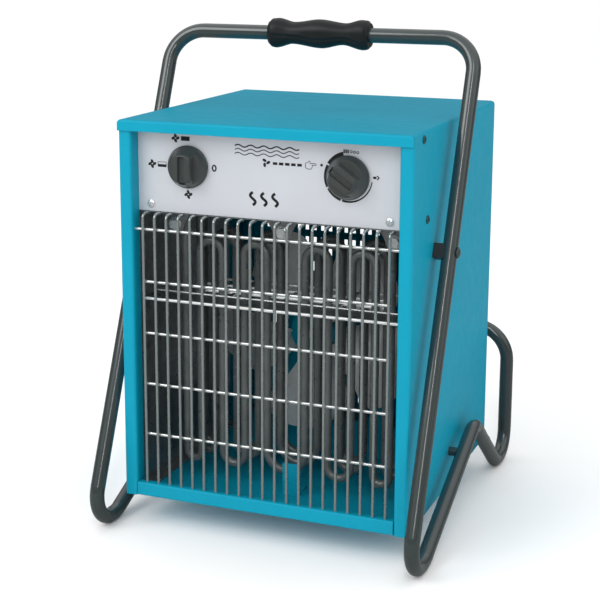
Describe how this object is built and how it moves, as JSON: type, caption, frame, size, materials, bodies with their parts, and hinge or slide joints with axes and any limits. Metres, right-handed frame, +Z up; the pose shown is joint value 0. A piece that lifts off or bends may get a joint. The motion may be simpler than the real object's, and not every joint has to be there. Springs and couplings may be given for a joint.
{
  "type": "portable fan heater",
  "caption": "Sheet-steel fan heater hung in a bent tube stand with a carrying handle, wire grille, tubular elements, rotary switch and thermostat.",
  "frame": {"origin": "on the floor, at the centre of the bounding box's footprint", "axes": "+X to the right seen from the front, +Y to the back, +Z up; the grille and the knobs face -Y"},
  "size_m": [0.3512, 0.3836, 0.5077],
  "materials": {
    "casing_paint": "teal powder coat, semi-gloss",
    "tube_paint": "dark grey gloss powder coat",
    "panel_paint": "light grey, satin",
    "black_paint": "black, satin",
    "wire_steel": "bright wire, welded",
    "plain_steel": "zinc plated",
    "dark_steel": "black oxide",
    "galvanised": "galvanised sheet",
    "element_sheath": "oxidised steel sheath",
    "fan_metal": "pressed sheet",
    "motor_metal": "cast, matt",
    "brass_parts": "bright",
    "copper_parts": "drawn copper",
    "bushing_white": "glazed ceramic look",
    "knob_plastic": "dark grey, fine texture",
    "black_plastic": "black moulded",
    "block_plastic": "natural moulded",
    "red_plastic": "red moulded",
    "grip_rubber": "moulded, matt",
    "wire_sleeve": "woven sleeve look"
  },
  "bodies": {
    "housing": {"casing_wrap": "casing_paint", "floor_pan": "casing_paint", "rear_panel": "casing_paint", "control_panel": "panel_paint", "control_shelf": "galvanised", "heat_shield_left": "galvanised", "heat_shield_right": "galvanised", "grille_uprights": "wire_steel", "grille_cross_wires": "wire_steel", "element_rack": "galvanised", "element_floor_bracket": "casing_paint", "heating_element_front": "element_sheath", "heating_element_middle": "element_sheath", "heating_element_rear": "element_sheath", "element_bushings": "bushing_white", "terminal_studs": "plain_steel", "terminal_nuts": "brass_parts", "star_link": "brass_parts", "element_leads": "wire_sleeve", "element_hangers": "galvanised", "hanger_bolts": "plain_steel", "fan_motor": "motor_metal", "motor_bracket": "casing_paint", "motor_screws": "plain_steel", "rotary_switch": "black_plastic", "thermostat": "block_plastic", "bush_nuts": "plain_steel", "capillary_tube": "copper_parts", "sensor_bulb": "copper_parts", "bulb_clip": "galvanised", "contactor": "block_plastic", "terminal_block": "block_plastic", "mains_loom": "wire_sleeve", "control_loom": "wire_sleeve", "cable_gland": "black_plastic", "gland_cap": "black_plastic", "gland_locknut": "black_plastic", "overheat_cutout": "black_plastic", "stand_front_tube": "tube_paint", "stand_rear_tube": "tube_paint", "stand_joint_sleeves": "plain_steel", "stand_joint_screws": "dark_steel", "handle_grip": "grip_rubber", "upper_spacers": "black_plastic", "upper_bolts": "dark_steel", "lower_spacers": "tube_paint", "lower_bolts": "dark_steel", "side_screws": "dark_steel", "panel_screws": "plain_steel", "rear_screws": "dark_steel", "floor_screws": "dark_steel"},
    "switch": {"switch_knob": "knob_plastic", "switch_shaft": "plain_steel"},
    "thermostat_control": {"thermostat_knob": "knob_plastic", "thermostat_shaft": "plain_steel"},
    "fan": {"fan_blades": "fan_metal", "fan_nut": "plain_steel", "motor_shaft": "plain_steel"},
    "reset": {"reset_button": "red_plastic"}
  },
  "joints": [
    {"name": "switch_turn", "type": "hinge", "parent": "housing", "child": "switch", "pos_m": [-0.082, -0.136, 0.371], "axis": [0, 1, 0], "range_deg": [-90, 180]},
    {"name": "thermostat_turn", "type": "hinge", "parent": "housing", "child": "thermostat_control", "pos_m": [0.082, -0.136, 0.371], "axis": [0, 1, 0], "range_deg": [-195, 75]},
    {"name": "fan_spin", "type": "hinge", "parent": "housing", "child": "fan", "pos_m": [0, 0, 0.181], "axis": [0, 1, 0], "continuous": true},
    {"name": "reset_press", "type": "slide", "parent": "housing", "child": "reset", "axis": [0, -1, 0], "range_m": [0, 0.002], "stiffness_N_per_m": 500}
  ]
}
